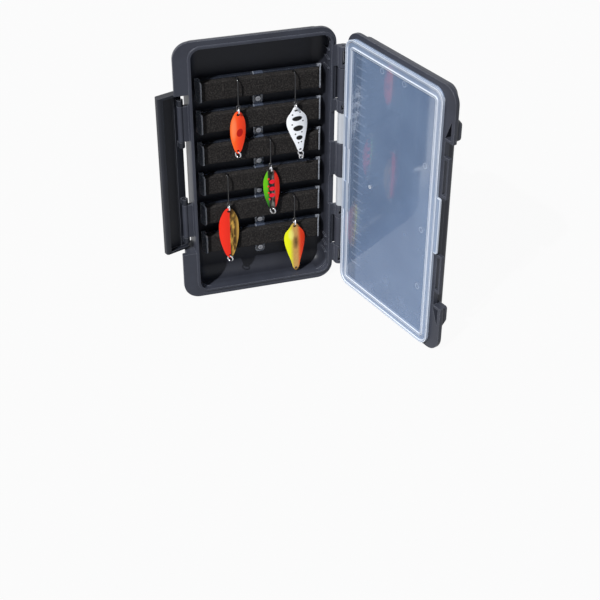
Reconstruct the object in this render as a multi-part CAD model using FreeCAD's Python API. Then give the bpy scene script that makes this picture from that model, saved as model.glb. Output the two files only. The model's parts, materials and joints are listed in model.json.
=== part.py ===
import FreeCAD, Part
import os
from math import sqrt

V = FreeCAD.Vector
os.makedirs("parts", exist_ok=True)

# A hinged lure case that stands on its short end with the lid and the latch open.
# X runs from the latch edge to the hinge edge, Y from the viewer to the back, Z up the long side.
# Every piece is drawn with the rim at y = 0 and the lid and latch shut, then turned to the open pose.

# Whole case
case_w = 106.5
case_l = 190.0
base_d = 20.0
lid_d = 12.5
corner_r = 11.0
back_round = 11.5
base_flange = 3.2
base_in = 3.2
ear_in = 3.0
hinge_in = 1.2
lid_round = 3.6

# Rim of the base
rim_w = 5.2
rim_hinge = 3.3
lip_w = 1.8
lip_h = 0.8
ear_w = 9.5
lip_corner = 8.2
tray_corner = 6.4
rim_round = 1.2
tray_wall = 1.8
tray_round = 8.4
floor_t = 2.0
post_r = 3.0
wall_rib = 1.1

# Lid; the clear cover lies in the leaf between the two rims when the case is shut
leaf = 2.0
lid_gap = 0.15
flange_t = 3.5
lid_step = 1.5
step_corner = 9.5
lid_corner = 8.0
seat_corner = 9.0
space_corner = 6.0
step_in = 2.4
body_in = 4.2
# how far the shoulder and the roof step in at the latch side and the hinge side
step_latch = 1.2
step_hinge = 1.6
body_latch = 3.2
body_hinge = 3.1
seat_in = 3.4
seat_hinge = 1.9
space_in = 6.8
lid_wall = 2.6
lid_roof = 1.8
seat_d = 2.5
rib_pitch = 6.4
rib_t = 0.9
rib_w = 11.0
groove_w = 5.0
groove_in = 12.0
bump_l = 17.0
bump_h = 4.4
bump_in = 0.9
bump_round = 2.2
hollow_l = 12.5
catch_t = 2.2
catch_in = 2.7
catch_bar = 1.3
catch_end = 2.0
lid_open = 108.0

# Hinge: half lengths, from the middle of the long side, where the base, cover and lid knuckles end
hinge_off = 4.0
knuckle_r = 3.3
pin_r = 1.0
run_gap = 0.05
knuckle_gap = 0.5
end_centre = 12.5
end_cover = 35.0
end_short = 44.0
end_lid = 67.0
end_hinge = 82.0
# solid left at both ends of a window in a barrel, then the strip behind the lid's barrels
pin_window = 2.5
strip_gap = 0.45
strip_back = 1.3

# Clear inner cover, hanging at the lower end of its play along the pin
cover_in_low = 1.0
cover_in_top = 4.6
cover_in_hinge = 0.4
cover_corner = 8.0
cover_t = 1.2
cover_lift = 0.1
cover_skirt = 1.2
skirt_gap = 0.4
bead_h = 0.6
bead_w = 1.5
bead_step = 5.0
arm_block = 7.0
thumb_l = 40.0
thumb_w = 3.4

# Latch
recess_l = 119.0
latch_gap = 1.2
latch_t = 1.4
spine_t = 2.2
spine_y = 4.4
latch_lip = 5.0
hook_t = 3.2
hook_gap = 0.35
latch_tail = 10.4
latch_round = 1.5
latch_cap = 1.6
latch_x_in = 4.8
latch_y = 8.0
lug_r = 2.1
lug_neck = 3.2
lug_in = 10.5
lug_l = 25.0
window_l = 16.0
window_w = 3.6
window_d = 0.8
arm_t = 4.0
latch_open = 70.0

# Folding hanger in the bottom end
tab_w = 39.0
tab_l = 17.0
tab_t = 1.7
tab_leg = 7.0
tab_pin_r = 0.7
tab_room = 0.6
tab_bar = 6.5
tab_peg_r = 2.6
# how far a cutting shape runs past the hanger and its pivot holes
tab_over = 2.0
tab_corner = 5.0
strip_t = 0.8

# Foam bars and their clear holders
bar_count = 6
# rooms above and below the bars in a case of this length; in another they keep their share
bar_case = 190.0
top_room = 33.6
low_room = 31.2
foam_t = 5.5
post_h = 3.3
holder_t = 0.9
holder_back = 1.2
holder_proud = 0.4
end_slope = 2.0
end_round = 2.0
shelf_part = 0.3
room_l = 4.8
room_r = 2.6
foot_x = 4.2
foot_w = 6.6
foot_l = 7.25
foot_gap = 0.5
screw_r = 0.9
screw_head_r = 1.9
screw_head_h = 1.1
cross_l = 1.2
cross_w = 0.2

# Hooks, rings and spoons
hook_r = 0.42
wire_r = 0.35
slack = 0.1
hook_rise = 1.2
hook_in = 3.0
eye_r = 1.25
bend_r = 3.0
point_l = 3.5
ring_r = 2.1
small_ring_r = 1.5
small_wire_r = 0.3
blade_t = 0.6
blade_bow = 16.0
hole_r = 1.15
hole_in = 1.1
low_hole_r = 0.95
low_hole_in = 0.9
spoon_gap = 1.2
# half outlines: share of the length down from the top, share of the half width
long_shape = [(0.03, 0.36), (0.12, 0.66), (0.22, 0.87), (0.41, 1.0)]
long_shape += [(0.66, 0.89), (0.83, 0.63), (0.95, 0.34)]
drop_shape = [(0.03, 0.26), (0.09, 0.44), (0.19, 0.80), (0.33, 1.0)]
drop_shape += [(0.50, 0.90), (0.69, 0.63), (0.86, 0.38), (0.97, 0.20)]
# bar length and pitch that the spoons below suit; on other bars they lengthen and spread with them
spoon_bar = 84.5
spoon_pitch = 22.96
# place from the bar's middle, bar it hangs from, drop from the hook's bend to its eye, length, width,
# outline, lower rings, lean in degrees
spoon_sizes = [
    (-16.1, 0, 19.7, 30.6, 10.3, long_shape, 1, 1.5),
    (22.1, 0, 21.9, 33.6, 14.0, drop_shape, 2, -6.0),
    (5.1, 2, 19.6, 31.7, 11.2, long_shape, 1, -2.0),
    (-24.5, 3, 22.3, 39.4, 13.8, long_shape, 1, 0.0),
    (21.7, 4, 18.7, 39.0, 14.8, drop_shape, 0, -1.7),
]

# Places worked out from the sizes above
x_l = -case_w / 2
x_r = case_w / 2
mid = case_l / 2
axis_x = x_r + hinge_off
tray_l = x_l + ear_w + tray_wall
tray_r = x_r - rim_hinge
flange_y = -lid_gap
latch_x = x_l + ear_w - latch_x_in
recess_a = mid - recess_l / 2
recess_b = mid + recess_l / 2
lug_to = recess_l / 2 - lug_in
lug_from = lug_to - lug_l
latch_reach = leaf + lid_gap + catch_t + hook_gap + hook_t
cover_l = x_l + ear_w
cover_r = x_r - cover_in_hinge
cover_a = cover_in_low
cover_b = case_l - cover_in_top
holder_l = tray_l + room_l
holder_r = tray_r - room_r
room_top = top_room * case_l / bar_case
room_low = low_room * case_l / bar_case
bar_pitch = (case_l - 2 * rim_w - room_top - room_low) / (bar_count - 1)
bar_mid = (holder_l + holder_r) / 2
spread = (holder_r - holder_l) / spoon_bar
fit = bar_pitch / spoon_pitch
spoons = []
for across, bar, drop, length, width, outline, rings, lean in spoon_sizes:
    x = bar_mid + across * spread
    spoons.append((x, bar, drop * fit, length * fit, width, outline, rings, lean))
foam_h = bar_pitch - foot_l - 2 * holder_t - foot_gap
foam_back = base_d - floor_t - post_h - holder_back
foam_y = foam_back - foam_t
eye_y = foam_y + hook_in - 2 * bend_r
ring_sag = eye_r - hook_r - wire_r - slack
eye_drop = ring_sag + 2 * ring_r - wire_r - slack - hole_in


def block(x0, x1, y0, y1, z0, z1):
    return Part.makeBox(x1 - x0, y1 - y0, z1 - z0, V(x0, y0, z0))


def slab(x0, x1, z0, z1, r, y0, y1):
    """A plate with rounded corners, standing in the XZ plane, from y0 to y1."""
    k = r * (1 - sqrt(0.5))
    edges = [
        Part.makeLine(V(x0 + r, y0, z0), V(x1 - r, y0, z0)),
        Part.Arc(V(x1 - r, y0, z0), V(x1 - k, y0, z0 + k), V(x1, y0, z0 + r)).toShape(),
        Part.makeLine(V(x1, y0, z0 + r), V(x1, y0, z1 - r)),
        Part.Arc(V(x1, y0, z1 - r), V(x1 - k, y0, z1 - k), V(x1 - r, y0, z1)).toShape(),
        Part.makeLine(V(x1 - r, y0, z1), V(x0 + r, y0, z1)),
        Part.Arc(V(x0 + r, y0, z1), V(x0 + k, y0, z1 - k), V(x0, y0, z1 - r)).toShape(),
        Part.makeLine(V(x0, y0, z1 - r), V(x0, y0, z0 + r)),
        Part.Arc(V(x0, y0, z0 + r), V(x0 + k, y0, z0 + k), V(x0 + r, y0, z0)).toShape(),
    ]
    return Part.Face(Part.Wire(edges)).extrude(V(0, y1 - y0, 0))


def ring_slab(x0, x1, z0, z1, r, wide, y0, y1):
    """A flat frame of one width, following a rounded rectangle."""
    outer = slab(x0, x1, z0, z1, r, y0, y1)
    inner = slab(x0 + wide, x1 - wide, z0 + wide, z1 - wide, r - wide, y0 - 1, y1 + 1)
    return outer.cut(inner)


def prism(points, along):
    """A solid pushed out from a flat outline."""
    return Part.Face(Part.makePolygon(points + points[:1])).extrude(along)


def upright(r, x, y, z0, z1):
    return Part.makeCylinder(r, z1 - z0, V(x, y, z0))


def round_at(shape, y, r):
    """Round every edge that lies in the plane at this y."""
    edges = [e for e in shape.Edges if abs(e.BoundBox.YMin - y) < 0.01 and abs(e.BoundBox.YMax - y) < 0.01]
    return shape.makeFillet(r, edges)


def both_sides(near, far):
    """The two z ranges at these distances above and below the middle."""
    return [(mid + near, mid + far), (mid - far, mid - near)]


def bar_z(i):
    return case_l - rim_w - room_top - i * bar_pitch


def knuckles(ranges, r, bore, y):
    """Hinge barrels on the shared pin, whose axis lies at this y."""
    out = []
    for z0, z1 in ranges:
        barrel = upright(r, axis_x, y, z0, z1)
        out.append(barrel.cut(upright(bore, axis_x, y, z0 - 1, z1 + 1)))
    return out


def base_ranges():
    inner = both_sides(end_cover + knuckle_gap, end_short)
    outer = both_sides(end_lid + knuckle_gap, end_hinge)
    return [(mid - end_centre, mid + end_centre)] + inner + outer


def screw_places():
    low = foam_h / 2 + holder_t + foot_l / 2
    return [V(foot_x, 0, bar_z(i) - low) for i in range(bar_count)]


def base_shell():
    flange_back = lip_h + base_flange
    flange = round_at(slab(x_l, x_r, 0, case_l, corner_r, lip_h, flange_back), flange_back, rim_round)
    # behind the flange the body steps in and curves round to the back
    body_r = x_r - hinge_in
    body = slab(x_l + ear_in, body_r, base_in, case_l - base_in, back_round + 0.6, lip_h + 1, base_d)
    body = round_at(body, base_d, back_round).fuse(flange)
    lip_end = rim_w - lip_w
    lip_l = tray_l - tray_wall
    lip = slab(lip_l, tray_r + lip_w, lip_end, case_l - lip_end, lip_corner, 0, lip_h + 1)
    body = body.fuse(round_at(lip, 0, lip_w / 3))
    body = body.cut(block(x_l - 1, x_l + ear_w, -1, base_d + 1, recess_a, recess_b))
    # the tray, with a rounded foot to its walls
    floor_y = base_d - floor_t
    tray = slab(tray_l, tray_r, rim_w, case_l - rim_w, tray_round + 0.3, lip_h, floor_y)
    tray = round_at(tray, floor_y, tray_round)
    tray = tray.fuse(slab(tray_l, tray_r, rim_w, case_l - rim_w, tray_corner, -1, flange_back))
    body = body.cut(tray)
    # notches in the hinge wall beside the cover's knuckles
    for z0, z1 in both_sides(end_centre + knuckle_gap / 2, end_cover + knuckle_gap / 2):
        body = body.cut(block(tray_r - 1, x_r + 1, -1, 2 * lip_h, z0, z1))
    # hinge barrels in front of the rim, each with a stepped web to the wall
    adds = knuckles(base_ranges(), knuckle_r, pin_r, -leaf)
    web_back = knuckle_r - leaf
    for z0, z1 in base_ranges():
        web = block(x_r - 2, axis_x, lip_h / 8, web_back, z0, z1)
        web = web.fuse(block(x_r + knuckle_gap, axis_x, -leaf, web_back, z0, z1))
        adds.append(web.cut(upright(pin_r, axis_x, -leaf, z0 - 1, z1 + 1)))
    # a strip of the wall behind the lid's barrels
    strip_y = web_back + strip_gap
    for z0, z1 in both_sides(end_short, end_lid + knuckle_gap):
        adds.append(block(x_r - 2, axis_x + knuckle_gap, strip_y, strip_y + strip_back, z0, z1))
    # two lugs that carry the latch pins
    neck = lug_neck / 2
    for z0, z1 in both_sides(lug_from, lug_to):
        lug = block(latch_x, x_l + ear_w + 0.5, latch_y - neck, latch_y + neck, z0, z1)
        lug = lug.fuse(upright(lug_r, latch_x, latch_y, z0, z1))
        adds.append(lug.cut(upright(pin_r, latch_x, latch_y, z0 - 1, z1 + 1)))
    # posts for the holders' screws
    post_y = foam_back + holder_back
    for p in screw_places():
        adds.append(Part.makeCylinder(post_r, floor_y - post_y + 0.5, V(p.x, post_y, p.z), V(0, 1, 0)))
    # short ribs on the hinge wall near both ends
    rib_x = tray_r - wall_rib
    for n in range(3):
        far = rim_w + (n + 2) * rib_pitch
        for z in (far - rib_t / 2, case_l - far - rib_t / 2):
            adds.append(block(rib_x, tray_r + 0.5, flange_back, foam_back, z, z + rib_t))
    body = body.fuse(adds)
    for p in screw_places():
        body = body.cut(Part.makeCylinder(screw_r, floor_y - foam_back, V(p.x, foam_back, p.z), V(0, 1, 0)))
    # windows that show the pin in the shorter barrels
    half = 1.6 * pin_r
    near = -leaf - knuckle_r - 1
    for z0, z1 in base_ranges()[1:]:
        window = block(axis_x - half, axis_x + half, near, -leaf, z0 + pin_window, z1 - pin_window)
        body = body.cut(window)
    # notch and pivot holes for the hanger, in the bottom of the flange
    y, z = tab_place()
    half = tab_w / 2 + tab_room
    body = body.cut(block(-half, half, lip_h + strip_t, base_d, -1, base_in))
    long = 2 * (half + tab_over)
    hole = Part.makeCylinder(tab_pin_r + run_gap, long, V(-half - tab_over, y, z), V(1, 0, 0))
    return body.cut(hole).removeSplitter()


def tab_place():
    """Where the hanger turns: y and z of its pivot."""
    return lip_h + strip_t + tab_t / 2 + 0.2, base_in / 2


def hang_tab():
    y, z = tab_place()
    half = tab_w / 2
    end = y + tab_l
    plate = block(-half, half, y, end, z - tab_t / 2, z + tab_t / 2)
    far = [e for e in plate.Edges if e.BoundBox.YMin > end - 0.01 and e.BoundBox.ZLength > tab_t / 2]
    plate = plate.makeFillet(tab_corner, far)
    # the slot leaves two legs, with a round notch for a peg in its far side
    slot_w = half - tab_leg
    slot = block(-slot_w, slot_w, y - tab_over, end - tab_bar, z - tab_over, z + tab_over)
    slot = slot.fuse(Part.makeCylinder(tab_peg_r, 2 * tab_over, V(0, end - tab_bar, z - tab_over)))
    pieces = []
    for x0 in (-half, half - tab_leg):
        pieces.append(Part.makeCylinder(tab_t / 2, tab_leg, V(x0, y, z), V(1, 0, 0)))
    for x0 in (-half - tab_room - 1.5, half - 0.5):
        pieces.append(Part.makeCylinder(tab_pin_r, tab_room + 2.0, V(x0, y, z), V(1, 0, 0)))
    return plate.cut(slot).fuse(pieces).removeSplitter()


def shut_to_open(shape):
    """Swing a piece drawn round the hinge axis at y = 0 to the open pose, in front of the rim."""
    shape.rotate(V(axis_x, 0, 0), V(0, 0, 1), lid_open)
    shape.translate(V(0, -leaf, 0))
    return shape


def lid_bump(s, out_y, body_l):
    """One of the two bumps beside the latch, with a sloping end away from it."""
    x0 = x_l + bump_in
    z0 = mid + s * (recess_l / 2 + 0.4)
    z1 = z0 + s * bump_l * 0.66
    z2 = z0 + s * bump_l
    top = out_y - bump_h
    foot = out_y + 0.6
    side = [V(x0, foot, z0), V(x0, top, z0), V(x0, top, z1), V(x0, foot, z2)]
    bump = prism(side, V(body_l - x_l, 0, 0))
    edges = [e for e in bump.Edges if e.BoundBox.YMin < out_y - 1 and e.BoundBox.XMin < body_l]
    return bump.makeFillet(bump_round, edges)


def lid_shell():
    out_y = flange_y - flange_t
    roof_y = -lid_d
    flange = round_at(slab(x_l, x_r, 0, case_l, corner_r, out_y, flange_y), out_y, 1.4)
    # the latch sits in a gap of the flange, and the shoulder steps in from it
    gap_x = x_l + ear_w - 2.2
    flange = flange.cut(block(x_l - 1, gap_x, out_y - 1, flange_y + 1, recess_a, recess_b))
    step_y = out_y - lid_step
    step_l = gap_x + step_latch
    step_r = x_r - step_hinge
    step = slab(step_l, step_r, step_in, case_l - step_in, step_corner, step_y, out_y + 0.5)
    step = round_at(step, step_y, 0.9)
    body_l = gap_x + body_latch
    body_r = x_r - body_hinge
    body = slab(body_l, body_r, body_in, case_l - body_in, lid_corner, roof_y, out_y + 0.5)
    body = round_at(body, roof_y, lid_round)
    adds = [step, body, lid_bump(1, out_y, body_l), lid_bump(-1, out_y, body_l)]
    # frames that the latch hooks over
    cuts = []
    for z0, z1 in both_sides(thumb_l / 2 + 0.8, lug_to):
        x0 = x_l + catch_in
        adds.append(block(x0, gap_x + 0.5, flange_y - catch_t, flange_y, z0, z1))
        slot_y = flange_y - catch_t - 1
        cuts.append(block(x0 + catch_bar, gap_x - 0.6, slot_y, flange_y + 1, z0 + catch_end, z1 - catch_end))
    lid = flange.fuse(adds)
    # seat for the clear cover's skirt, then the deeper space behind it
    seat_y = flange_y - seat_d
    seat_r = x_r - seat_hinge
    cuts.append(slab(x_l + ear_w, seat_r, seat_in, case_l - seat_in, seat_corner, seat_y, flange_y + 1))
    cav_l = body_l + lid_wall
    cav_r = body_r - lid_wall
    cav_y = roof_y + lid_roof
    cuts.append(slab(cav_l, cav_r, space_in, case_l - space_in, space_corner, cav_y, flange_y))
    # hollow corners under the bumps
    for s in (1, -1):
        z0 = mid + s * (recess_l / 2 + 1.8)
        y0 = flange_y + 1
        tri = [V(x_l + 2.4, y0, z0), V(gap_x + 0.2, y0, z0), V(x_l + 2.6, y0, z0 + s * hollow_l)]
        cuts.append(prism(tri, V(0, 2 - flange_t - bump_h, 0)))
    # long shallow groove in the outside face
    groove_x = body_l + groove_in
    far_x = groove_x + groove_w
    groove_r = groove_w / 2 - 0.05
    cuts.append(slab(groove_x, far_x, case_l * 0.15, case_l * 0.85, groove_r, roof_y - 1, roof_y + 0.5))
    lid = lid.cut(cuts)
    # comb of ribs along the hinge wall
    adds = []
    count = int((case_l - 36) / rib_pitch)
    for n in range(count + 1):
        z = mid + (n - count / 2) * rib_pitch
        rib_y = seat_y - 0.6
        adds.append(block(cav_r - rib_w, cav_r + 0.4, cav_y - 0.4, rib_y, z - rib_t / 2, z + rib_t / 2))
    ranges = both_sides(end_short + knuckle_gap, end_lid)
    for z0, z1 in ranges:
        web = block(x_r - 2, axis_x, -knuckle_r, flange_y, z0, z1)
        adds.append(web.cut(upright(pin_r + run_gap, axis_x, 0, z0 - 1, z1 + 1)))
    adds += knuckles(ranges, knuckle_r, pin_r + run_gap, 0)
    return shut_to_open(lid.fuse(adds).removeSplitter())


def inner_cover():
    y0 = cover_lift
    y1 = cover_lift + cover_t
    top = y1 + bead_h
    r = cover_corner
    plate = slab(cover_l, cover_r, cover_a, cover_b, r, y0, y1)
    bead = ring_slab(cover_l, cover_r, cover_a, cover_b, r, bead_w, y0 + 0.3, top)
    d = bead_step
    second = ring_slab(cover_l + d, cover_r - d, cover_a + d, cover_b - d, r - d, bead_w, y0 + 0.3, top)
    # a skirt that keeps the cover in the lid's seat
    skirt_in = seat_in + skirt_gap
    skirt_l = x_l + ear_w + skirt_gap
    skirt_r = x_r - seat_hinge - skirt_gap
    skirt_y = flange_y - seat_d + 0.3
    skirt = ring_slab(skirt_l, skirt_r, skirt_in, case_l - skirt_in, r, cover_skirt, skirt_y, y0 + 0.4)
    adds = [skirt, bead, second]
    ranges = both_sides(end_centre + knuckle_gap, end_cover)
    for z0, z1 in ranges:
        arm = block(cover_r - arm_block, axis_x, y0, y1, z0, z1)
        arm = arm.fuse(block(cover_r - arm_block, cover_r, y0, top, z0, z1))
        adds.append(arm.cut(upright(pin_r + run_gap, axis_x, 0, z0 - 1, z1 + 1)))
    adds += knuckles(ranges, knuckle_r - 0.3, pin_r + run_gap, 0)
    tip = cover_l - thumb_w
    thumb = block(tip, cover_l + bead_w, y0, y1, mid - thumb_l / 2, mid + thumb_l / 2)
    tips = [e for e in thumb.Edges if e.BoundBox.XMax < tip + 0.01 and e.BoundBox.YLength > cover_t / 2]
    adds.append(thumb.makeFillet(1.2, tips))
    return shut_to_open(plate.fuse(adds).removeSplitter())


def latch_bar():
    z0 = recess_a + latch_gap
    z1 = recess_b - latch_gap
    x0 = x_l
    lip_x = x0 + latch_lip
    near = -latch_reach
    section = [
        V(x0, near, z0),
        V(lip_x, near, z0),
        V(lip_x, near + hook_t, z0),
        V(x0 + latch_t, near + hook_t, z0),
        V(x0 + latch_t, spine_y, z0),
        V(x0 + spine_t, spine_y + 0.6, z0),
        V(x0 + spine_t, latch_tail, z0),
        V(x0, latch_tail, z0),
    ]
    bar = prism(section, V(0, 0, z1 - z0))
    edges = [e for e in bar.Edges if e.BoundBox.XMax < x0 + 0.01 and e.BoundBox.ZLength > 1]
    edges += [e for e in bar.Edges if e.BoundBox.XMin > lip_x - 0.01 and e.BoundBox.YMax < near + 0.01]
    bar = bar.makeFillet(latch_round, [e for e in edges if e.BoundBox.ZLength > 1])
    adds = []
    for a in (z0, z1 - latch_cap):
        cap = block(x0, lip_x, near, latch_tail, a, a + latch_cap)
        edges = [e for e in cap.Edges if e.BoundBox.ZLength > latch_cap / 2]
        adds.append(cap.makeFillet(latch_round, edges))
    # arms beside each lug, turning on the short pins
    neck = lug_neck / 2
    spans = both_sides(lug_from - knuckle_gap - arm_t, lug_from - knuckle_gap)
    spans += both_sides(lug_to + knuckle_gap, lug_to + knuckle_gap + arm_t)
    for a, b in spans:
        arm = block(x0 + 0.5, latch_x, latch_y - neck, latch_y + neck, a, b)
        arm = arm.fuse(upright(lug_r, latch_x, latch_y, a, b))
        adds.append(arm.cut(upright(pin_r + run_gap, latch_x, latch_y, a - 1, b + 1)))
    bar = bar.fuse(adds)
    # two shallow windows in the outside face
    window_y = (latch_tail + 2 * near) / 3 + hook_t / 2
    for a, b in both_sides(lug_from + 1, lug_from + 1 + window_l):
        bar = bar.cut(block(x0 - 1, x0 + window_d, window_y, window_y + window_w, a, b))
    bar = bar.removeSplitter()
    bar.rotate(V(latch_x, latch_y, 0), V(0, 0, 1), -latch_open)
    return bar


def hinge_pin():
    return upright(pin_r, axis_x, -leaf, mid - end_hinge + 1, mid + end_hinge - 1)


def latch_pins():
    reach = arm_t + knuckle_gap
    spans = both_sides(lug_from, lug_to)
    return Part.makeCompound([upright(pin_r, latch_x, latch_y, a - reach, b + reach) for a, b in spans])


def end_in(y):
    """How far the sloping end of a bar has come in at this depth."""
    return end_slope * (foam_back - y) / foam_t


def foam_bar(i):
    z = bar_z(i)
    top = z + foam_h / 2
    low = z - foam_h / 2
    x0 = holder_l + holder_t
    x1 = holder_r - holder_t
    front = [V(x1 - end_slope, foam_y, low), V(x0 + end_slope, foam_y, low)]
    bar = prism([V(x0, foam_back, low), V(x1, foam_back, low)] + front, V(0, 0, foam_h))
    for s in spoons:
        if hang_bar(s) == i:
            y = eye_y + 2 * bend_r
            deep = top - point_l - bend_r
            bar = bar.cut(block(s[0] - hook_r, s[0] + hook_r, y - 1.3, y + 0.5, deep, top + 1))
    return bar


def foam_carrier(i):
    z = bar_z(i)
    low = z - foam_h / 2
    top = z + foam_h / 2
    back = foam_back + holder_back
    near = foam_y - holder_proud
    frame = block(holder_l, holder_r, foam_back, back, low - holder_t, top + holder_t)
    adds = []
    # shelves over and under the foam, then the two sloping ends
    shelf_y = foam_back - shelf_part * foam_t
    for a, b in ((low - holder_t, low), (top, top + holder_t)):
        adds.append(block(holder_l + end_slope, holder_r - end_slope, shelf_y, foam_back + 0.2, a, b))
    for x0, s in ((holder_l, 1), (holder_r, -1)):
        x1 = x0 + s * holder_t
        tip = s * end_in(near)
        plan = [V(x0, foam_back, low), V(x1, foam_back, low), V(x1 + tip, near, low), V(x0 + tip, near, low)]
        wall = prism(plan, V(0, 0, foam_h + 2 * holder_t))
        wall.translate(V(0, 0, -holder_t))
        edges = [e for e in wall.Edges if e.BoundBox.YMax < near + 0.01 and e.BoundBox.ZLength < 0.01]
        adds.append(wall.makeFillet(end_round, edges))
    # a foot with rounded corners, screwed to the base
    under = low - holder_t
    foot = block(foot_x - foot_w / 2, foot_x + foot_w / 2, foam_back, back, under - foot_l, low)
    edges = [e for e in foot.Edges if e.BoundBox.ZMax < under and e.BoundBox.YLength > holder_back / 2]
    adds.append(foot.makeFillet(end_round * 0.75, edges))
    frame = frame.fuse(adds)
    p = screw_places()[i]
    hole = Part.makeCylinder(screw_r, 3 * holder_back, V(p.x, foam_back - holder_back, p.z), V(0, 1, 0))
    return frame.cut(hole).removeSplitter()


def carrier_screws():
    out = []
    near = foam_back - screw_head_h
    for p in screw_places():
        head = Part.makeCylinder(screw_head_r, screw_head_h, V(p.x, near, p.z), V(0, 1, 0))
        head = round_at(head, near, 0.4)
        shank_l = base_d - floor_t - foam_back - 0.6
        shank = Part.makeCylinder(screw_r, shank_l, V(p.x, foam_back - 0.2, p.z), V(0, 1, 0))
        deep = near + screw_head_h / 2
        cross = block(p.x - cross_l, p.x + cross_l, near - 1, deep, p.z - cross_w, p.z + cross_w)
        turned = block(p.x - cross_w, p.x + cross_w, near - 1, deep, p.z - cross_l, p.z + cross_l)
        out.append(head.fuse(shank).cut(cross.fuse(turned)).removeSplitter())
    return Part.makeCompound(out)


def hang_bar(s):
    """The bar one spoon hangs from: its own, or the next one up that keeps it off the lower wall."""
    i = s[1]
    while i > 0 and eye_over(s, i) - eye_drop - s[3] < rim_w + spoon_gap:
        i -= 1
    return i


def eye_over(s, i):
    return bar_z(i) + foam_h / 2 + hook_rise - s[2]


def eye_z(s):
    """Height of the hook's eye for one spoon."""
    return eye_over(s, hang_bar(s))


def lure_hooks():
    out = []
    for s in spoons:
        x = s[0]
        z = eye_z(s)
        top = z + s[2] - bend_r
        far = eye_y + 2 * bend_r
        path = Part.Wire([
            Part.makeLine(V(x, eye_y, z + eye_r), V(x, eye_y, top)),
            Part.Arc(V(x, eye_y, top), V(x, eye_y + bend_r, top + bend_r), V(x, far, top)).toShape(),
            Part.makeLine(V(x, far, top), V(x, far, top - point_l + 1.0)),
        ])
        start = Part.Wire(Part.makeCircle(hook_r, V(x, eye_y, z + eye_r), V(0, 0, 1)))
        wire = path.makePipeShell([start], True, False)
        point = Part.makeCone(0.05, hook_r, 1.6, V(x, far, top - point_l - 0.6), V(0, 0, 1))
        eye = Part.makeTorus(eye_r, hook_r, V(x, eye_y, z), V(0, 1, 0))
        out.append(wire.fuse([point, eye]))
    return Part.makeCompound(out)


def lean_over(s, shape):
    """Lean a hanging piece sideways about its hook's eye."""
    shape.rotate(V(s[0], eye_y, eye_z(s)), V(0, 1, 0), s[7])
    return shape


def blade_tip(s):
    """Height of the top of one spoon, hung on its ring."""
    return eye_z(s) - eye_drop


def blade_low(s):
    """Height of the spoon's lower hole."""
    return blade_tip(s) - s[3] + low_hole_in + low_hole_r


def spoon_blade(s):
    x = s[0]
    length = s[3]
    top = blade_tip(s)
    # down one side of the outline and back up the other
    right = [V(x + s[4] / 2 * across, 0, top - length * down) for down, across in s[5]]
    left = [V(2 * x - p.x, 0, p.z) for p in reversed(right)]
    points = [V(x, 0, top)] + right + [V(x, 0, top - length)] + left
    curve = Part.BSplineCurve()
    curve.interpolate(Points=points, PeriodicFlag=True)
    sheet = Part.Face(Part.Wire(curve.toShape())).extrude(V(0, base_d, 0))
    # bow the sheet across its width
    near = eye_y - blade_t / 2
    shell = upright(blade_bow, x, near + blade_bow, top - length - 2, top + 2)
    shell = shell.cut(upright(blade_bow - blade_t, x, near + blade_bow, top - length - 3, top + 3))
    blade = sheet.common(shell)
    for z, r in ((top - hole_in - hole_r, hole_r), (blade_low(s), low_hole_r)):
        blade = blade.cut(Part.makeCylinder(r, blade_bow, V(x, near - blade_bow / 2, z), V(0, 1, 0)))
    return lean_over(s, blade)


def spoon_rings(s):
    x = s[0]
    out = [Part.makeTorus(ring_r, wire_r, V(x, eye_y, eye_z(s) - ring_sag - ring_r), V(1, 0, 0))]
    z = blade_low(s) - low_hole_r + wire_r + slack - ring_r
    if s[6] > 0:
        out.append(Part.makeTorus(ring_r, wire_r, V(x, eye_y, z), V(0.75, 0.66, 0)))
    if s[6] > 1:
        low = z - ring_r + wire_r + small_wire_r + slack - small_ring_r
        out.append(Part.makeTorus(small_ring_r, small_wire_r, V(x, eye_y, low), V(-0.3, 0.95, 0)))
    return lean_over(s, Part.makeCompound(out))


def save(name, shape):
    """Move the origin from the rim to the middle of the standing edge, then write the piece."""
    shape.translate(V(0, -lip_h - strip_t / 2, 0))
    shape.exportStep("parts/" + name + ".step")


save("base_shell", base_shell())
save("lid_shell", lid_shell())
save("inner_cover", inner_cover())
save("latch_bar", latch_bar())
save("hang_tab", hang_tab())
save("hinge_pin", hinge_pin())
save("latch_pins", latch_pins())
for i in range(bar_count):
    save("foam_bar_" + str(i + 1), foam_bar(i))
    save("foam_carrier_" + str(i + 1), foam_carrier(i))
save("carrier_screws", carrier_screws())
save("lure_hooks", lure_hooks())
for i in range(len(spoons)):
    save("spoon_" + str(i + 1) + "_blade", spoon_blade(spoons[i]))
    save("spoon_" + str(i + 1) + "_rings", spoon_rings(spoons[i]))
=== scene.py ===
import json
import math
import bpy
from mathutils import Matrix, Vector, noise


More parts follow.
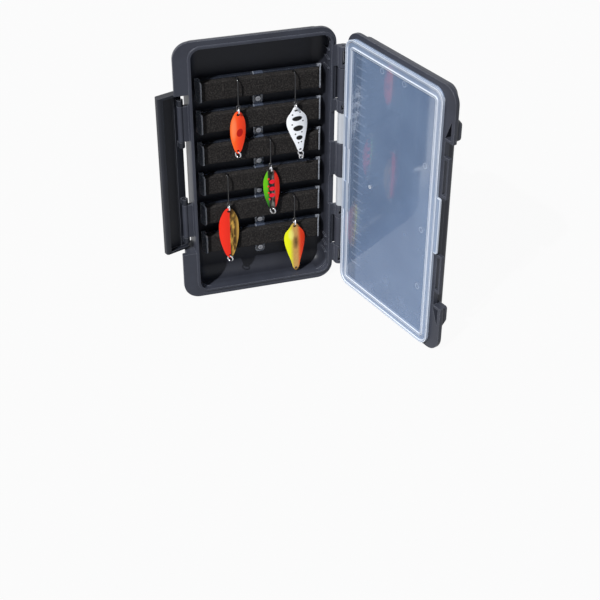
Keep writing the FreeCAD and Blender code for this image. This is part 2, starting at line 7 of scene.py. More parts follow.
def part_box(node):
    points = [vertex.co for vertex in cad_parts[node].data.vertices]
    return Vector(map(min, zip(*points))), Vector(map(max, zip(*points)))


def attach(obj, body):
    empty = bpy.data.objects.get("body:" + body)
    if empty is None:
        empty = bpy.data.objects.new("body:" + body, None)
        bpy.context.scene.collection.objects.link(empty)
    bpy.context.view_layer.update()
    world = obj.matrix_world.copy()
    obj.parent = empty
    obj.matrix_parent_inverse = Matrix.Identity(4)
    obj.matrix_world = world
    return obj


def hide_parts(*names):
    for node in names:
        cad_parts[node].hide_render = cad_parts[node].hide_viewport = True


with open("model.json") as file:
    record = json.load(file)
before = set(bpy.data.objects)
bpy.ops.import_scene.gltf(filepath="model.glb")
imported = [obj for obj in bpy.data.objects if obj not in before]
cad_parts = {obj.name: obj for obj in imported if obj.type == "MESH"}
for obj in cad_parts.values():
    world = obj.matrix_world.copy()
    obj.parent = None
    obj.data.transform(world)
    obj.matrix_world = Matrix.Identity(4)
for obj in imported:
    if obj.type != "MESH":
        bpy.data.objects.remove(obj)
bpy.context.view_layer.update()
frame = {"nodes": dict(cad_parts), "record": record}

nodes = frame["nodes"]
jointPlaces = {joint["name"]: Vector(joint["pos_m"]) for joint in frame["record"]["behaviour"]["joints"]}
scene = bpy.context.scene
scene.view_settings.view_transform = "Standard"
mm = 0.001
print("frame loaded:", len(nodes), "nodes")


# Shader helpers: a socket that does sums, and a finish that makes nodes

class Sock:
    def __init__(self, finish, link):
        self.finish = finish
        self.link = link

    def calc(self, operation, *values):
        settings = {"operation": operation}
        return self.finish.add("ShaderNodeMath", settings, dict(enumerate(values)))

    def __add__(self, other):
        return self.calc("ADD", self, other)

    def __radd__(self, other):
        return self.calc("ADD", other, self)

    def __sub__(self, other):
        return self.calc("SUBTRACT", self, other)

    def __rsub__(self, other):
        return self.calc("SUBTRACT", other, self)

    def __mul__(self, other):
        return self.calc("MULTIPLY", self, other)

    def __rmul__(self, other):
        return self.calc("MULTIPLY", other, self)

    def __truediv__(self, other):
        return self.calc("DIVIDE", self, other)

    def __pow__(self, other):
        return self.calc("POWER", self, other)

    def __abs__(self):
        return self.calc("ABSOLUTE", self)

    def least(self, other):
        return self.calc("MINIMUM", self, other)

    def most(self, other):
        return self.calc("MAXIMUM", self, other)

    def ramp(self, low, high):  # 0 below low, 1 above high, eased between
        settings = {"interpolation_type": "SMOOTHSTEP"}
        inputs = {"Value": self, "From Min": low, "From Max": high}
        return self.finish.add("ShaderNodeMapRange", settings, inputs)


class Graph:
    def __init__(self, tree):
        self.tree = tree

    def give(self, node, inputs):
        for key, value in inputs.items():
            if isinstance(value, Sock):
                self.tree.links.new(value.link, node.inputs[key])
            else:
                node.inputs[key].default_value = value

    def add(self, kind, settings=None, inputs=None, out=0):
        made = self.tree.nodes.new(kind)
        for key, value in (settings or {}).items():
            setattr(made, key, value)
        self.give(made, inputs or {})
        return Sock(self, made.outputs[out])

    def whiteSeen(self):  # 1 for rays that should meet the white surroundings
        kinds = ("Camera", "Glossy", "Transmission")
        rays = [self.add("ShaderNodeLightPath", out="Is %s Ray" % kind) for kind in kinds]
        return (rays[0] + rays[1] + rays[2]).least(1.0)


class Finish(Graph):
    def __init__(self, name, **shaderValues):
        self.material = bpy.data.materials.new(name)
        self.material.use_nodes = True
        super().__init__(self.material.node_tree)
        self.shader = self.tree.nodes["Principled BSDF"]
        self.set(**shaderValues)

    def point(self):  # place on the piece, in metres of the part's own frame
        return self.add("ShaderNodeTexCoord", out="Object")

    def split(self, vector):
        return [self.add("ShaderNodeSeparateXYZ", None, {0: vector}, out=k) for k in range(3)]

    def noise(self, size, detail=2.0, rough=0.5, where=None):  # size of the pattern in metres
        inputs = {"Vector": where or self.point(), "Scale": 1 / size, "Detail": detail, "Roughness": rough}
        return self.add("ShaderNodeTexNoise", None, inputs)

    def mix(self, amount, first, second):
        return self.add("ShaderNodeMix", {"data_type": "RGBA"}, {0: amount, 6: first, 7: second}, out=2)

    def soften(self, radius):  # rounded normal at the edges
        return self.add("ShaderNodeBevel", {"samples": 6}, {"Radius": radius})

    def bump(self, height, strength, distance, normal=None):
        inputs = {"Height": height, "Strength": strength, "Distance": distance}
        if normal:
            inputs["Normal"] = normal
        return self.add("ShaderNodeBump", None, inputs)

    def edges(self, rounded):  # 1 along edges, 0 on flats
        normal = self.add("ShaderNodeNewGeometry", out="Normal")
        settings = {"operation": "DOT_PRODUCT"}
        same = self.add("ShaderNodeVectorMath", settings, {0: normal, 1: rounded}, out="Value")
        return (1 - same).ramp(0.004, 0.12)

    def set(self, **values):
        self.give(self.shader, {key.replace("_", " "): value for key, value in values.items()})
        return self.material

    def blend(self, amount, second):  # mixes another shader into the finish
        shaded = Sock(self, self.shader.outputs[0])
        both = self.add("ShaderNodeMixShader", None, {0: amount, 1: shaded, 2: second})
        self.give(self.tree.nodes["Material Output"], {"Surface": both})

    def mirror(self, amount, rough):
        self.blend(amount, self.add("ShaderNodeBsdfGlossy", None, {"Roughness": rough}))


def rgb(red, green, blue):
    return (red, green, blue, 1.0)


def dress(names, material):
    for name in names:
        mesh = nodes[name].data
        mesh.materials.clear()
        mesh.materials.append(material)


def addPiece(name, data, material, body, slot, *replaced):
    piece = bpy.data.objects.new(name, data)
    scene.collection.objects.link(piece)
    data.materials.append(material)
    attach(piece, body)
    if replaced:
        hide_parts(*replaced)
    return piece


# Camera at the photograph's viewing angle

cameraSetup = {
    "place": (-0.1911, -0.7460, 0.5295),
    "turn": 0.2880,         # radians to the right of +Y
    "dip": 0.6129,          # radians below the horizon
    "roll": 0.0043,
    "focalPixels": 1326.4,  # at 600 pixels across
    "imagePixels": 600,
}


def makeCamera(setup):
    data = bpy.data.cameras.new("camera")
    camera = bpy.data.objects.new("camera", data)
    scene.collection.objects.link(camera)
    data.lens = data.sensor_width * setup["focalPixels"] / setup["imagePixels"]
    turn, dip = setup["turn"], setup["dip"]
    forward = Vector((math.sin(turn) * math.cos(dip), math.cos(turn) * math.cos(dip), -math.sin(dip)))
    right = Vector((math.cos(turn), -math.sin(turn), 0))
    up = right.cross(forward)
    c, s = math.cos(setup["roll"]), math.sin(setup["roll"])
    axisX = right * c + up * s
    axisY = up * c - right * s
    turned = Matrix((axisX, axisY, -forward)).transposed().to_4x4()
    camera.matrix_world = Matrix.Translation(setup["place"]) @ turned
    data.clip_start, data.clip_end = 0.01, 20
    scene.camera = camera


makeCamera(cameraSetup)
print("camera placed")


# Floor, sky and a hard sun from the upper left

studio = {
    "floorSize": 6.0,
    "floorColour": rgb(0.25, 0.25, 0.26),
    "floorRough": 0.9,
    "floorWhite": 0.95,     # share of plain white that the camera and mirrors see
    "skyColour": rgb(0.80, 0.90, 1.0),
    "skyLevel": 0.20,
    "sunFrom": (-0.565, -0.441, 0.697),
    "sunLevel": 4.4,
    "sunAngle": 0.02,
}


def makeFloor(setup):
    half = setup["floorSize"] / 2
    mesh = bpy.data.meshes.new("floor")
    corners = [(-half, -half, 0), (half, -half, 0), (half, half, 0), (-half, half, 0)]
    mesh.from_pydata(corners, [], [(0, 1, 2, 3)])
    floor = bpy.data.objects.new("floor", mesh)
    scene.collection.objects.link(floor)
    finish = Finish("paleFloor", Base_Color=setup["floorColour"], Roughness=setup["floorRough"])
    glow = finish.add("ShaderNodeEmission", None, {"Color": rgb(1, 1, 1), "Strength": 1.0})
    finish.blend(finish.whiteSeen() * setup["floorWhite"], glow)
    mesh.materials.append(finish.material)


def makeSky(setup):
    world = bpy.data.worlds.new("studioSky")
    world.use_nodes = True
    scene.world = world
    sky = Graph(world.node_tree)
    dim = {"Color": setup["skyColour"], "Strength": setup["skyLevel"]}
    plain = sky.add("ShaderNodeBackground", None, dim)
    white = sky.add("ShaderNodeBackground", None, {"Color": rgb(1, 1, 1), "Strength": 1.0})
    both = sky.add("ShaderNodeMixShader", None, {0: sky.whiteSeen(), 1: plain, 2: white})
    sky.give(sky.tree.nodes["World Output"], {"Surface": both})


def makeSun(setup):
    data = bpy.data.lights.new("sunLamp", "SUN")
    data.energy = setup["sunLevel"]
    data.angle = setup["sunAngle"]
    sun = bpy.data.objects.new("sunLamp", data)
    sun.rotation_euler = (-Vector(setup["sunFrom"])).to_track_quat("-Z", "Y").to_euler()
    scene.collection.objects.link(sun)


makeFloor(studio)
makeSky(studio)
makeSun(studio)
print("studio lit")


# Places on the open lid: distance from the hinge axis, depth behind the rim, height

lidOpen = math.radians(108)


def lidPlaces(finish):
    x, y, z = finish.split(finish.point())
    hinge = jointPlaces["lid_hinge"]
    along = (x - hinge.x) * -math.cos(lidOpen) + (y - hinge.y) * -math.sin(lidOpen)
    depth = (x - hinge.x) * math.sin(lidOpen) + (y - hinge.y) * -math.cos(lidOpen)
    return along, depth, z


# Moulded plastic of the case, the lid and the latch, with painted edge highlights, painted shade in the tray
# and painted highlights on the comb crests

plasticLook = {
    "colour": rgb(0.034, 0.037, 0.050),
    "paler": rgb(0.044, 0.048, 0.064),
    # worn: colour of the painted edge highlights, broken up by real scuffs, and of real dust
    "worn": rgb(0.22, 0.23, 0.27),
    "cloud": 26 * mm,
    "grain": 0.30 * mm,
    "grainDepth": 0.05 * mm,
    "scuff": 1.6 * mm,
    "dust": 0.5 * mm,
    "edgeRadius": 0.35 * mm,
    "rough": 0.42,
    "specular": 0.22,
}


def mouldedPlastic(name, look, tint=None):
    finish = Finish(name, Specular_IOR_Level=look["specular"])
    rounded = finish.soften(look["edgeRadius"])
    cloud = finish.noise(look["cloud"], 3)
    grain = finish.noise(look["grain"], 2, 0.6)
    scuff = finish.noise(look["scuff"], 4, 0.7).ramp(0.45, 0.75)
    dust = finish.noise(look["dust"], 2, 0.8).ramp(0.72, 0.80) * cloud.ramp(0.45, 0.65)
    edge = finish.edges(rounded)
    colour = finish.mix(cloud.ramp(0.3, 0.7), look["colour"], look["paler"])
    # painted light: the tint function gives where the look's tint colour paints shade or a highlight
    if tint:
        colour = finish.mix(tint(finish, look), colour, look["tint"])
    # painted highlight along the edges, broken up by scuffs, with real dust over the flats
    colour = finish.mix((edge * (0.45 + 0.5 * scuff) + 0.25 * dust).least(1.0), colour, look["worn"])
    rough = look["rough"] + 0.10 * (cloud - 0.5) + 0.08 * (grain - 0.5)
    normal = finish.bump(grain, 0.18, look["grainDepth"], rounded)
    return finish.set(Base_Color=colour, Roughness=rough, Normal=normal)


caseLook = {
    **plasticLook,
    # tint and its share: colour of the painted shade inside the tray
    "tint": rgb(0.004, 0.004, 0.006),
    "paintedLightShare": 0.60,
    "trayLow": (-42.0 * mm, 2.0 * mm, 5.0 * mm),
    "trayHigh": (50.2 * mm, 17.2 * mm, 185.0 * mm),
    "traySoft": 0.4 * mm,
    "trayFade": 5 * mm,
}


def paintedTrayShade(finish, look):  # painted shade: darker inside the tray, standing in for the shade that falls in it
    x, y, z = finish.split(finish.point())
    low, high = look["trayLow"], look["trayHigh"]
    inside = (x - low[0]).least(high[0] - x).least(z - low[2]).least(high[2] - z).least(high[1] - y)
    share = inside.ramp(0.0, look["traySoft"]) * y.ramp(low[1], low[1] + look["trayFade"])
    return share * look["paintedLightShare"]


dress(["base_shell"], mouldedPlastic("casePlastic", caseLook, paintedTrayShade))

lidLook = {
    **plasticLook,
    # tint and its share: colour of the painted highlight on the comb crests
    "tint": rgb(0.50, 0.54, 0.60),
    "paintedLightShare": 0.9,
    "combMiddle": 15.2 * mm,
    "combHalf": 5.4 * mm,
    "combCrest": 3.25 * mm,
    "combLow": 17.0 * mm,
    "combHigh": 173.0 * mm,
    "combSoft": 0.2 * mm,
}


def paintedCombHighlight(finish, look):  # painted highlight: paler on the crests of the comb inside the lid, standing in for the light they catch
    along, depth, height = lidPlaces(finish)
    beside = abs(along - look["combMiddle"]).ramp(look["combHalf"], look["combHalf"] + look["combSoft"])
    off = abs(depth - look["combCrest"]).ramp(0.15 * mm, 0.9 * mm)
    within = (height - look["combLow"]).least(look["combHigh"] - height).ramp(0.0, look["combSoft"])
    return (1 - beside) * (1 - off) * within * look["paintedLightShare"]


dress(["lid_shell"], mouldedPlastic("lidPlastic", lidLook, paintedCombHighlight))

latchLook = {
    **plasticLook,
    "colour": rgb(0.014, 0.016, 0.022),
    "paler": rgb(0.019, 0.021, 0.029),
    # brighter painted edge highlights on the latch
    "worn": rgb(0.27, 0.28, 0.32),
    "grain": 0.28 * mm,
    "rough": 0.38,
}
dress(["latch_bar", "hang_tab"], mouldedPlastic("latchPlastic", latchLook))
print("case dressed")


# Clear inner cover: hazy blue-grey sheet with painted highlights as pale lines on its two rim beads, and
# faint ejector marks

coverLook = {
    "tint": rgb(0.27, 0.38, 0.58),
    "deep": rgb(0.21, 0.30, 0.48),
    # bright: colour of the painted highlight lines and of the real pale marks
    "bright": rgb(0.86, 0.90, 0.96),
    "barrel": rgb(0.42, 0.45, 0.50),
    "haze": 0.48,
    "combHaze": 0.30,       # share of haze over the comb, which shows through
    "edgeRadius": 0.3 * mm,
    "rough": 0.12,
    "specular": 0.1,
    "mirror": 0.14,
    "mirrorLow": 0.04,      # where the sheet mirrors the floor
    "mirrorRough": 0.05,
    "floorSlope": 1.35,     # the floor's mirror image rises toward the free edge
    "floorFrom": -16 * mm,
    "floorFull": 14 * mm,
    "hingeEdge": 4.4 * mm,  # from the hinge axis, along the cover
    "freeEdge": 101.0 * mm,
    "tabTip": 104.4 * mm,
    "tabMiddle": 95.0 * mm,
    "tabHalf": 20.0 * mm,
    "lowEdge": 1.0 * mm,
    "topEdge": 185.4 * mm,
    "corner": 8.0 * mm,
    "combWidth": 17.5 * mm,
    "beadLines": [0.3, 1.5, 5.1, 6.4],  # mm in from the edge, where the painted highlight lines lie on the beads
    "lineHalf": 0.28 * mm,
    "beadFrom": 7.5 * mm,
    "beadFull": 6.0 * mm,
    "cloud": 42 * mm,
    "smear": 30 * mm,
    "smearLow": 20 * mm,    # smears are full up to this height and gone at the next
    "smearTop": 120 * mm,
    "speck": 0.9 * mm,
    "marks": [(88, 131), (88, 85), (88, 42), (42, 176), (64, 176)],  # mm from the hinge axis, mm up
    "markRadius": 1.7 * mm,
    "gate": (34, 90),
    "gateRadius": 0.9 * mm,
}


def insideBorder(along, height, look):  # distance in from the edge of a rectangle with round corners
    corner = look["corner"]
    offs = []
    sides = [(along, look["hingeEdge"], look["freeEdge"]), (height, look["lowEdge"], look["topEdge"])]
    for place, low, high in sides:
        offs.append(abs(place - (low + high) / 2) - ((high - low) / 2 - corner))
    beyond = (offs[0].most(0.0) ** 2 + offs[1].most(0.0) ** 2) ** 0.5
    return corner - beyond - offs[0].most(offs[1]).least(0.0)


def ringMark(along, height, place, radius, line):
    off = ((along - place[0] * mm) ** 2 + (height - place[1] * mm) ** 2) ** 0.5
    return 1 - abs(off - radius).ramp(line * 0.5, line)


def coverFinish(look):
    finish = Finish("clearCover", Specular_IOR_Level=look["specular"], IOR=1.49)
    rounded = finish.soften(look["edgeRadius"])
    edge = finish.edges(rounded)
    along, height = lidPlaces(finish)[::2]
    border = insideBorder(along, height, look)
    # painted highlights: pale lines along the edges, on the rim beads and along the tab edge
    paintedHighlightLines = edge * 0.6
    for place in look["beadLines"]:
        paintedHighlightLines = paintedHighlightLines.most(1 - abs(border - place * mm).ramp(look["lineHalf"] * 0.6, look["lineHalf"] * 1.6))
    tabEnd = abs(height - look["tabMiddle"]).ramp(look["tabHalf"] - 0.9 * mm, look["tabHalf"] - 0.5 * mm)
    tabEdge = along.ramp(look["tabTip"] - 0.9 * mm, look["tabTip"] - 0.5 * mm).most(tabEnd)
    onTab = along.ramp(look["freeEdge"] + 0.1 * mm, look["freeEdge"] + 0.4 * mm)
    paintedHighlightLines = paintedHighlightLines.most(tabEdge * onTab * 0.8)
    bead = 1 - border.ramp(look["beadFull"], look["beadFrom"])
    marks = ringMark(along, height, look["gate"], look["gateRadius"], 0.5 * mm) * 0.9
    for place in look["marks"]:
        marks = marks.most(ringMark(along, height, place, look["markRadius"], 0.4 * mm) * 0.30)
    barrel = 1 - along.ramp(look["hingeEdge"] - 0.4 * mm, look["hingeEdge"])
    comb = (1 - (along - look["hingeEdge"]).ramp(look["combWidth"] * 0.9, look["combWidth"])) * (1 - bead)
    cloud = finish.noise(look["cloud"], 3, 0.5)
    low = 1 - height.ramp(look["smearLow"], look["smearTop"])
    smear = finish.noise(look["smear"], 4, 0.6).ramp(0.50, 0.75) * low
    speck = finish.noise(look["speck"], 2, 0.6).ramp(0.74, 0.80) * cloud.ramp(0.45, 0.7)
    colour = finish.mix(cloud.ramp(0.3, 0.7), look["tint"], look["deep"])
    colour = finish.mix(barrel, colour, look["barrel"])
    # pale: the painted highlight lines, with real ejector rings, specks and smears, and a paler bead band
    pale = (paintedHighlightLines * 0.85).most(marks).most(speck * 0.6).most(0.15 * bead).most(0.10 * smear)
    colour = finish.mix(pale, colour, look["bright"])
    alpha = look["haze"] + 0.10 * (cloud - 0.5) + 0.08 * smear - (look["haze"] - look["combHaze"]) * comb
    alpha = alpha + 0.35 * paintedHighlightLines + 0.3 * marks + 0.25 * barrel + 0.08 * bead
    towardFloor = (along * look["floorSlope"] - height).ramp(look["floorFrom"], look["floorFull"])
    mirror = look["mirror"] - (look["mirror"] - look["mirrorLow"]) * towardFloor
    finish.mirror(mirror, look["mirrorRough"])
    rough = look["rough"] + 0.3 * speck
    return finish.set(Base_Color=colour, Alpha=alpha.least(1.0), Roughness=rough, Normal=rounded)


dress(["inner_cover"], coverFinish(coverLook))


# Clear foam holders: smoky sheet with milky end plates, painted highlights on the edges, and a foot that is
# pale along one side as a painted highlight

holderLook = {
    "tint": rgb(0.030, 0.038, 0.058),
    "milky": rgb(0.52, 0.55, 0.62),
    "foot": rgb(0.085, 0.105, 0.155),
    # bright: colour of the painted highlights on the edges and on one side of the foot
    "bright": rgb(0.60, 0.64, 0.72),
    "haze": 0.30,
    "edgeRadius": 0.3 * mm,
    "rough": 0.16,
    "specular": 0.35,
    "mirror": 0.04,
    "mirrorRough": 0.12,
    "scratch": 1.3 * mm,
    "footPlace": 4.2 * mm,
    "footHalf": 3.3 * mm,
    "endWidth": 3.2 * mm,
}


def holderFinish(look):
    finish = Finish("clearHolder", Specular_IOR_Level=look["specular"], IOR=1.49)
    rounded = finish.soften(look["edgeRadius"])
    edge = finish.edges(rounded)
    x = finish.split(finish.point())[0]
    sideways = (x - look["footPlace"]) / look["footHalf"]
    foot = 1 - abs(sideways).ramp(0.98, 1.04)
    paintedFootHighlight = foot * (1 - sideways.ramp(-0.92, -0.70))
    low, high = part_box("foam_carrier_1")
    end = 1 - (x - low[0]).least(high[0] - x).ramp(look["endWidth"] * 0.9, look["endWidth"])
    scratch = finish.noise(look["scratch"], 4, 0.7).ramp(0.48, 0.72)
    colour = finish.mix(foot, look["tint"], look["foot"])
    colour = finish.mix(end * (0.45 + 0.55 * scratch), colour, look["milky"])
    # painted highlights: pale edges, strongest on the end plates, and one side of the foot
    colour = finish.mix((edge * (0.10 + 0.70 * end)).most(paintedFootHighlight * 0.5), colour, look["bright"])
    alpha = look["haze"] + 0.30 * foot + 0.35 * end + 0.30 * edge
    finish.mirror(look["mirror"], look["mirrorRough"])
    rough = look["rough"] + 0.25 * scratch
    return finish.set(Base_Color=colour, Alpha=alpha.least(1.0), Roughness=rough, Normal=rounded)


holders = [name for name in nodes if name.startswith("foam_carrier_")]
dress(holders, holderFinish(holderLook))
print("clear mouldings dressed")


# Foam bars: soft blocks with rounded edges, pitted faces and a dent where a hook goes in

foamLook = {
    "dark": rgb(0.010, 0.009, 0.009),
    "fleck": rgb(0.075, 0.068, 0.063),
    "cell": 0.75 * mm,
    "cellDepth": 0.35 * mm,
    "patch": 9 * mm,
    "edgeRound": 0.8 * mm,
    "endSlope": 2.0 * mm,
    "slack": 0.08 * mm,
    "lump": 0.14 * mm,
    "lumpSize": 2.2 * mm,
    "endShare": 0.015,      # share of the half length over which the end draws in
    "dent": 0.8 * mm,
    "dentReach": 1.6 * mm,
    "steps": 96,
    "cornerSteps": 4,
    "sideStep": 1.1 * mm,
}


def foamFinish(look):
    finish = Finish("blackFoam", Roughness=0.95, Specular_IOR_Level=0.15)
    cell = finish.noise(look["cell"], 3, 0.7)
    fleck = finish.noise(look["cell"] * 1.3, 2, 0.8).ramp(0.40, 0.72)
    patch = finish.noise(look["patch"], 3, 0.6)
    colour = finish.mix(fleck * (0.30 + 0.5 * patch), look["dark"], look["fleck"])
    return finish.set(Base_Color=colour, Normal=finish.bump(cell, 0.8, look["cellDepth"]))


def roundedLoop(low, high, look):  # rounded rectangle in y and z, with points along its sides too
    radius, steps = look["edgeRound"], look["cornerSteps"]
    points = []
    corners = [(high[1], high[2], 0), (low[1], high[2], 1), (low[1], low[2], 2), (high[1], low[2], 3)]
    for y, z, quarter in corners:
        turn = quarter * math.pi / 2
        centreY = y - radius * (1 if quarter in (0, 3) else -1)
        centreZ = z - radius * (1 if quarter in (0, 1) else -1)
        for k in range(steps + 1):
            angle = turn + k / steps * math.pi / 2
            points.append((centreY + radius * math.cos(angle), centreZ + radius * math.sin(angle)))
    full = []
    for k, (y, z) in enumerate(points):
        nextY, nextZ = points[(k + 1) % len(points)]
        cuts = max(1, int(math.hypot(nextY - y, nextZ - z) / look["sideStep"]))
        full += [(y + (nextY - y) * n / cuts, z + (nextZ - z) * n / cuts) for n in range(cuts)]
    return full


def foamMesh(name, look, hookPlaces):
    low, high = [Vector(corner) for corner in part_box(name)]
    low += Vector((look["slack"],) * 3)
    high -= Vector((look["slack"],) * 3)
    loop = roundedLoop(low, high, look)
    middle = (low + high) / 2
    points = []
    for n in range(look["steps"] + 1):
        share = n / look["steps"] * 2 - 1
        ending = max(0.0, abs(share) - (1 - look["endShare"])) / look["endShare"]
        for y, z in loop:
            reach = (high.x - low.x) / 2 - look["endSlope"] * (high.y - y) / (high.y - low.y)
            place = Vector((middle.x + share * reach, y, z))
            inward = Vector((0, middle.y - y, middle.z - z)).normalized()
            sink = look["lump"] * (0.5 + 0.5 * noise.noise(place / look["lumpSize"]))
            sink += look["edgeRound"] * 0.5 * ending ** 2
            for hookX in hookPlaces:
                near = Vector((place.x - hookX, (y - middle.y) * 0.6, z - high.z)).length
                sink += look["dent"] * math.exp(-(near / look["dentReach"]) ** 2)
            points.append(place + inward * sink)
    count = len(loop)
    faces = []
    for n in range(look["steps"]):
        for k in range(count):
            other = (k + 1) % count
            faces.append((n * count + k, n * count + other, (n + 1) * count + other, (n + 1) * count + k))
    faces.append(tuple(reversed(range(count))))
    faces.append(tuple(range(look["steps"] * count, (look["steps"] + 1) * count)))
    mesh = bpy.data.meshes.new(name + "_soft")
    mesh.from_pydata(points, [], faces)
    mesh.polygons.foreach_set("use_smooth", [True] * len(mesh.polygons))
    return mesh


lureBars = {1: 1, 2: 1, 3: 3, 4: 4, 5: 5}  # bar that each lure hangs from
foam = foamFinish(foamLook)
for bar in range(1, 7):
    hookPlaces = [jointPlaces["spoon_%d_swing" % n].x for n, at in lureBars.items() if at == bar]
    name = "foam_bar_%d" % bar
    piece = addPiece("foamStrip%d" % bar, foamMesh(name, foamLook, hookPlaces), foam, "base", "foam", name)
print("foam bars made")


# Plain metal

steelLook = {"colour": rgb(0.30, 0.31, 0.34), "rough": 0.36, "cloud": 0.8 * mm}
hookLook = {
    "colour": rgb(0.010, 0.010, 0.012),
    "worn": rgb(0.05, 0.05, 0.055),
    "rough": 0.14,
    "specular": 0.6,
    "rub": 1.5 * mm,
}


def metal(name, look):
    finish = Finish(name, Metallic=1.0)
    cloud = finish.noise(look["cloud"], 3)
    dull = rgb(*[0.6 * value for value in look["colour"][:3]])
    colour = finish.mix(cloud * 0.35, look["colour"], dull)
    return finish.set(Base_Color=colour, Roughness=look["rough"] + 0.2 * (cloud - 0.5))


def blackWire(name, look):
    finish = Finish(name, Specular_IOR_Level=look["specular"])
    rub = finish.noise(look["rub"], 3, 0.6).ramp(0.5, 0.8)
    colour = finish.mix(rub * 0.5, look["colour"], look["worn"])
    return finish.set(Base_Color=colour, Roughness=look["rough"] + 0.1 * rub)


dress(["hinge_pin", "latch_pins", "carrier_screws"], metal("pinSteel", steelLook))
dress(["lure_hooks"], blackWire("hookWire", hookLook))


# Split rings: two turns of round wire side by side

ringLook = {
    "colour": rgb(0.86, 0.86, 0.88),
    "rough": 0.14,
    "cloud": 0.8 * mm,
    "radius": 2.05 * mm,
    "wire": 0.27 * mm,
    "turnShift": 1.02,      # in wire radii, to each side
    "turns": 2,
    "crossing": 0.09,       # share of the wire on each side of where it steps across
    "stepsPerTurn": 28,
    "hangsBelowEye": 2.48 * mm,
    "hangsBelowBlade": 0.75 * mm,
    "smallRadius": 1.45 * mm,
    "smallBelow": 2.85 * mm,
    "lowerFacing": (0.75, 0.66, 0),
    "smallFacing": (-0.3, 0.95, 0),
}
lures = {
    1: {"lean": 1.5, "lowerRings": 1, "halfWidth": 5.15 * mm},
    2: {"lean": -6.0, "lowerRings": 2, "halfWidth": 7.0 * mm},
    3: {"lean": -2.0, "lowerRings": 1, "halfWidth": 5.6 * mm},
    4: {"lean": 0.0, "lowerRings": 1, "halfWidth": 6.9 * mm},
    5: {"lean": -1.7, "lowerRings": 0, "halfWidth": 7.4 * mm},
}
eyeToBlade = 3.03 * mm
for n, lure in lures.items():
    lure["eye"] = jointPlaces["spoon_%d_swing" % n]
    lean = math.radians(lure["lean"])
    lure["down"] = Vector((-math.sin(lean), 0, -math.cos(lean)))
    lure["side"] = Vector((math.cos(lean), 0, -math.sin(lean)))
    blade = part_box("spoon_%d_blade" % n)
    lure["length"] = (lure["eye"].z - blade[0][2]) / math.cos(lean) - eyeToBlade


def coil(curve, centre, normal, radius, look):
    normal = normal.normalized()
    first = Vector((0, 0, 1))
    second = normal.cross(first)
    count = look["turns"] * look["stepsPerTurn"]
    spline = curve.splines.new("POLY")
    spline.points.add(count)
    for k in range(count + 1):
        angle = k / look["stepsPerTurn"] * 2 * math.pi
        crossing = min(1.0, max(-1.0, (k / count - 0.5) / look["crossing"]))
        shift = normal * look["wire"] * look["turnShift"] * math.sin(crossing * math.pi / 2)
        place = centre + first * radius * math.cos(angle) + second * radius * math.sin(angle) + shift
        spline.points[k].co = (*place, 1)


def splitRings(n, lure, look):
    curve = bpy.data.curves.new("splitRings%d" % n, "CURVE")
    curve.dimensions = "3D"
    curve.bevel_depth = look["wire"]
    curve.bevel_resolution = 3
    curve.use_fill_caps = True
    eye, down = lure["eye"], lure["down"]
    coil(curve, eye + down * look["hangsBelowEye"], lure["side"], look["radius"], look)
    low = eye + down * (eyeToBlade + lure["length"] + look["hangsBelowBlade"])
    if lure["lowerRings"] > 0:
        coil(curve, low, Vector(look["lowerFacing"]), look["radius"], look)
    if lure["lowerRings"] > 1:
        smaller = low + down * look["smallBelow"]
        coil(curve, smaller, Vector(look["smallFacing"]), look["smallRadius"], look)
    return curve


ringSteel = metal("ringSteel", ringLook)
for n, lure in lures.items():
    body = "spoon_%d" % n
    rings = splitRings(n, lure, ringLook)
    addPiece("splitRings%d" % n, rings, ringSteel, body, "ring_steel", body + "_rings")
print("metal dressed, rings made")


# Lure lacquers, each with its own pattern over a gloss coat, with painted highlights on lures 1 and 5 and
# painted reflections on the foil

lacquer = {
    "orange": rgb(1.0, 0.15, 0.022),
    # colour of the painted highlight on lure 1
    "paintedHighlightPeach": rgb(1.0, 0.42, 0.22),
    "orangeRed": rgb(1.0, 0.060, 0.016),
    "darkRed": rgb(0.50, 0.008, 0.004),
    "white": rgb(0.92, 0.93, 0.95),
    "shadedWhite": rgb(0.66, 0.68, 0.72),
    "black": rgb(0.008, 0.008, 0.008),
    "green": rgb(0.13, 0.50, 0.008),
    "deepGreen": rgb(0.012, 0.16, 0.010),
    "red": rgb(0.85, 0.030, 0.014),
    "pinkRed": rgb(0.90, 0.012, 0.030),
    "yellow": rgb(0.76, 0.78, 0.012),
    # colour of the painted highlight on lure 5
    "paintedHighlightCream": rgb(0.95, 0.93, 0.30),
    "gold": rgb(0.72, 0.43, 0.09),
    "paleGold": rgb(0.62, 0.36, 0.11),
    "darkGold": rgb(0.060, 0.030, 0.008),
    "silver": rgb(0.22, 0.21, 0.19),
    "darkSilver": rgb(0.018, 0.018, 0.016),
}
glossCoat = {"Specular_IOR_Level": 0.06, "Coat_Weight": 0.14, "Coat_Roughness": 0.10}


def lureFinish(n, lure):
    finish = Finish("lureLacquer%d" % n, **glossCoat)
    x, z = finish.split(finish.point())[::2]
    eye, down, side = lure["eye"], lure["down"], lure["side"]
    offX, offZ = x - eye.x, z - eye.z
    share = ((offX * down.x + offZ * down.z) - eyeToBlade) / lure["length"]  # 0 at the top, 1 at the foot
    across = (offX * side.x + offZ * side.z) / lure["halfWidth"]             # -1 at the left, 1 at the right
    return finish, share, across


def oval(share, across, place, halfShare, halfAcross):
    off = (((across - place[0]) / halfAcross) ** 2 + ((share - place[1]) / halfShare) ** 2) ** 0.5
    return 1 - off.ramp(0.88, 1.08)


def paintedFoilReflection(finish, bright, dark, size):  # painted reflection: foil colour streaked light and dark, standing in for what the foil mirrors
    x, y, z = finish.split(finish.point())
    stretched = finish.add("ShaderNodeCombineXYZ", None, {0: x, 1: y, 2: z * 0.35})
    streak = finish.noise(size, 3, 0.55, stretched).ramp(0.44, 0.70)
    return finish.mix(streak, dark, bright)


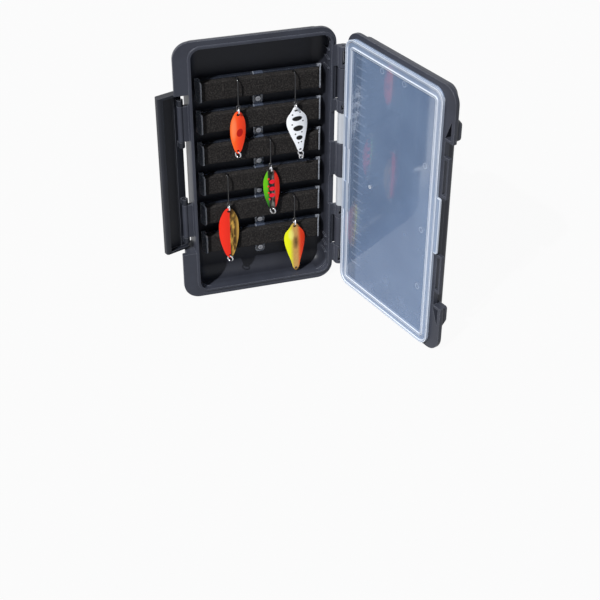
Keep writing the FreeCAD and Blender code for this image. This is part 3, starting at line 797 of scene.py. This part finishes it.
def flameLure(n, lure):
    finish, share, across = lureFinish(n, lure)
    colour = finish.mix(across.ramp(-0.9, 0.3), lacquer["orange"], lacquer["orangeRed"])
    # painted highlight: a pale peach patch on the upper left of the blade
    paintedHighlight = 1 - (((across + 0.55) / 0.45) ** 2 + ((share - 0.40) / 0.36) ** 2).ramp(0.0, 1.0)
    colour = finish.mix(paintedHighlight * 0.30, colour, lacquer["paintedHighlightPeach"])
    spot = oval(share + 0.035 * across, across, (0.20, 0.505), 0.095, 0.42)
    return finish.set(Base_Color=finish.mix(spot, colour, lacquer["darkRed"]), Roughness=0.28 + 0.1 * share)


def spottedLure(n, lure):
    finish, share, across = lureFinish(n, lure)
    bars = [((0.02, 0.25), 0.052, 0.50), ((0.02, 0.465), 0.062, 0.50), ((0.03, 0.676), 0.050, 0.32)]
    dots = [(-0.39, 0.154), (0.37, 0.127), (-0.52, 0.37), (0.56, 0.327), (-0.31, 0.586), (0.33, 0.562)]
    dots += [(-0.11, 0.786), (0.17, 0.776)]
    ink = oval(share, across, *bars[0])
    for place, halfShare, halfAcross in bars[1:]:
        ink = ink.most(oval(share, across, place, halfShare, halfAcross))
    for place in dots:
        ink = ink.most(oval(share, across, place, 0.016, 0.075))
    cloud = finish.noise(6 * mm, 3)
    colour = finish.mix(cloud * 0.2, lacquer["white"], lacquer["shadedWhite"])
    return finish.set(Base_Color=finish.mix(ink, colour, lacquer["black"]), Roughness=0.25 + 0.1 * cloud)


def stripedLure(n, lure):
    finish, share, across = lureFinish(n, lure)
    left = finish.mix(share.ramp(0.35, 0.95), lacquer["green"], lacquer["deepGreen"])
    # painted reflection: light and dark streaks on the silver foil
    middle = paintedFoilReflection(finish, lacquer["silver"], lacquer["darkSilver"], 2.4 * mm)
    colour = finish.mix(across.ramp(-0.56, -0.32), left, middle)
    colour = finish.mix(across.ramp(0.26, 0.48), colour, lacquer["red"])
    ink = oval(share, across, (0.07, 0.305), 0.051, 0.36)
    for place in [(0.05, 0.475), (0.0, 0.634)]:
        ink = ink.most(oval(share, across, place, 0.051, 0.36))
    for place in [(-0.36, 0.23), (-0.42, 0.405), (-0.42, 0.566), (-0.35, 0.722)]:
        ink = ink.most(oval(share, across, place, 0.023, 0.12))
    foil = across.ramp(-0.45, -0.25) * (1 - across.ramp(0.22, 0.40)) * (1 - ink)
    colour = finish.mix(ink, colour, lacquer["pinkRed"])
    return finish.set(Base_Color=colour, Metallic=foil, Roughness=0.30 - 0.1 * foil)


def halvedLure(n, lure):
    finish, across = lureFinish(n, lure)[::2]
    foil = across.ramp(0.03, 0.09)
    glint = paintedFoilReflection(finish, lacquer["gold"], lacquer["darkGold"], 4 * mm)
    # painted reflection: streaked gold, plain bright gold toward the right edge
    gold = finish.mix(across.ramp(0.55, 0.95) * 0.7, glint, lacquer["gold"])
    colour = finish.mix(foil, lacquer["red"], gold)
    return finish.set(Base_Color=colour, Metallic=foil, Roughness=0.32 - 0.16 * foil)


def blendedLure(n, lure):
    finish, share, across = lureFinish(n, lure)
    shade = (((across - 0.06) / 0.30) ** 2 + ((share - 0.40) / 0.14) ** 2) ** 0.5
    shade = 0.15 + shade.ramp(0.1, 1.5) * 0.75 + 0.5 * (finish.noise(2 * mm, 3) - 0.5)
    gold = finish.mix(shade, lacquer["darkGold"], lacquer["paleGold"])
    colour = finish.mix(across.ramp(-0.60, -0.08), lacquer["yellow"], gold)
    colour = finish.mix(across.ramp(0.12, 0.60), colour, lacquer["orangeRed"])
    # painted highlight: a pale cream patch on the upper left of the blade
    paintedHighlight = 1 - (((across + 0.35) / 0.35) ** 2 + ((share - 0.24) / 0.14) ** 2).ramp(0.0, 1.0)
    colour = finish.mix(paintedHighlight * 0.45, colour, lacquer["paintedHighlightCream"])
    foil = across.ramp(-0.35, -0.05) * (1 - across.ramp(0.15, 0.50))
    return finish.set(Base_Color=colour, Metallic=foil * 0.6, Roughness=0.30 - 0.1 * foil)


makers = {1: flameLure, 2: spottedLure, 3: stripedLure, 4: halvedLure, 5: blendedLure}
for n, maker in makers.items():
    dress(["spoon_%d_blade" % n], maker(n, lures[n]))
print("lures painted")
